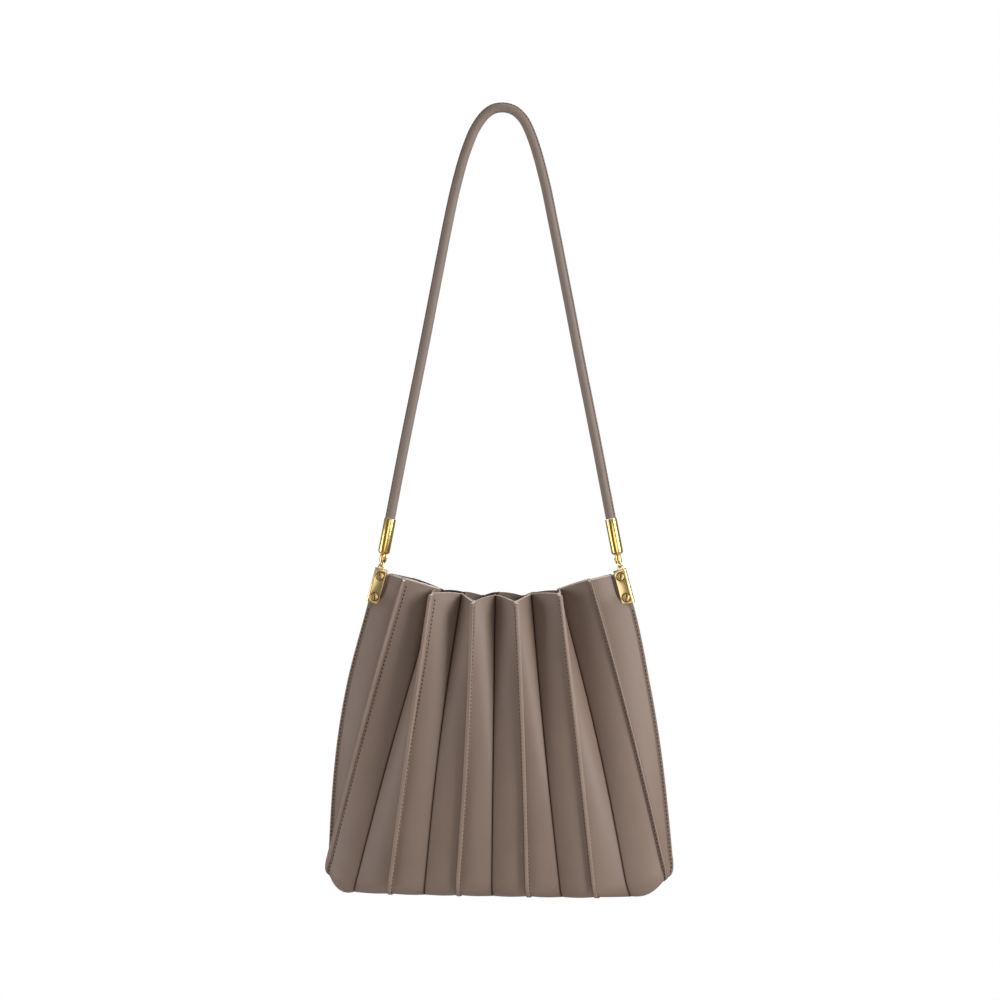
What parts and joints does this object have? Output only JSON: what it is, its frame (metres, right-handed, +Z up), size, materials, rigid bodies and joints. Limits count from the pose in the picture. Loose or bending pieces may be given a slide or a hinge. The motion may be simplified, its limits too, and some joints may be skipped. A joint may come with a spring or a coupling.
{
  "type": "accordion shoulder bag",
  "caption": "Pleated leather shoulder bag with fanned accordion folds, hanging from a round leather strap on metal ferrules, clasps and clamps.",
  "frame": {"origin": "underside of the strap's top bend, where a hook or a hand holds the hanging bag", "axes": "+Z up, +X along the bag's width, -Y towards the front"},
  "size_m": [0.2412, 0.0916, 0.5525],
  "materials": {
    "leather": "smooth matte",
    "strap_leather": "matte, edge sewn",
    "polished_gold": "polished",
    "satin_gold": "satin"
  },
  "bodies": {
    "root": {"main_panel": "leather", "gusset_left": "leather", "gusset_right": "leather", "strap": "strap_leather", "clamp_plate_left": "satin_gold", "clamp_plate_right": "satin_gold", "screw_left_1": "polished_gold", "screw_left_2": "polished_gold", "screw_right_1": "polished_gold", "screw_right_2": "polished_gold", "clasp_left": "polished_gold", "clasp_right": "polished_gold", "ferrule_left": "polished_gold", "ferrule_right": "polished_gold"}
  },
  "joints": []
}
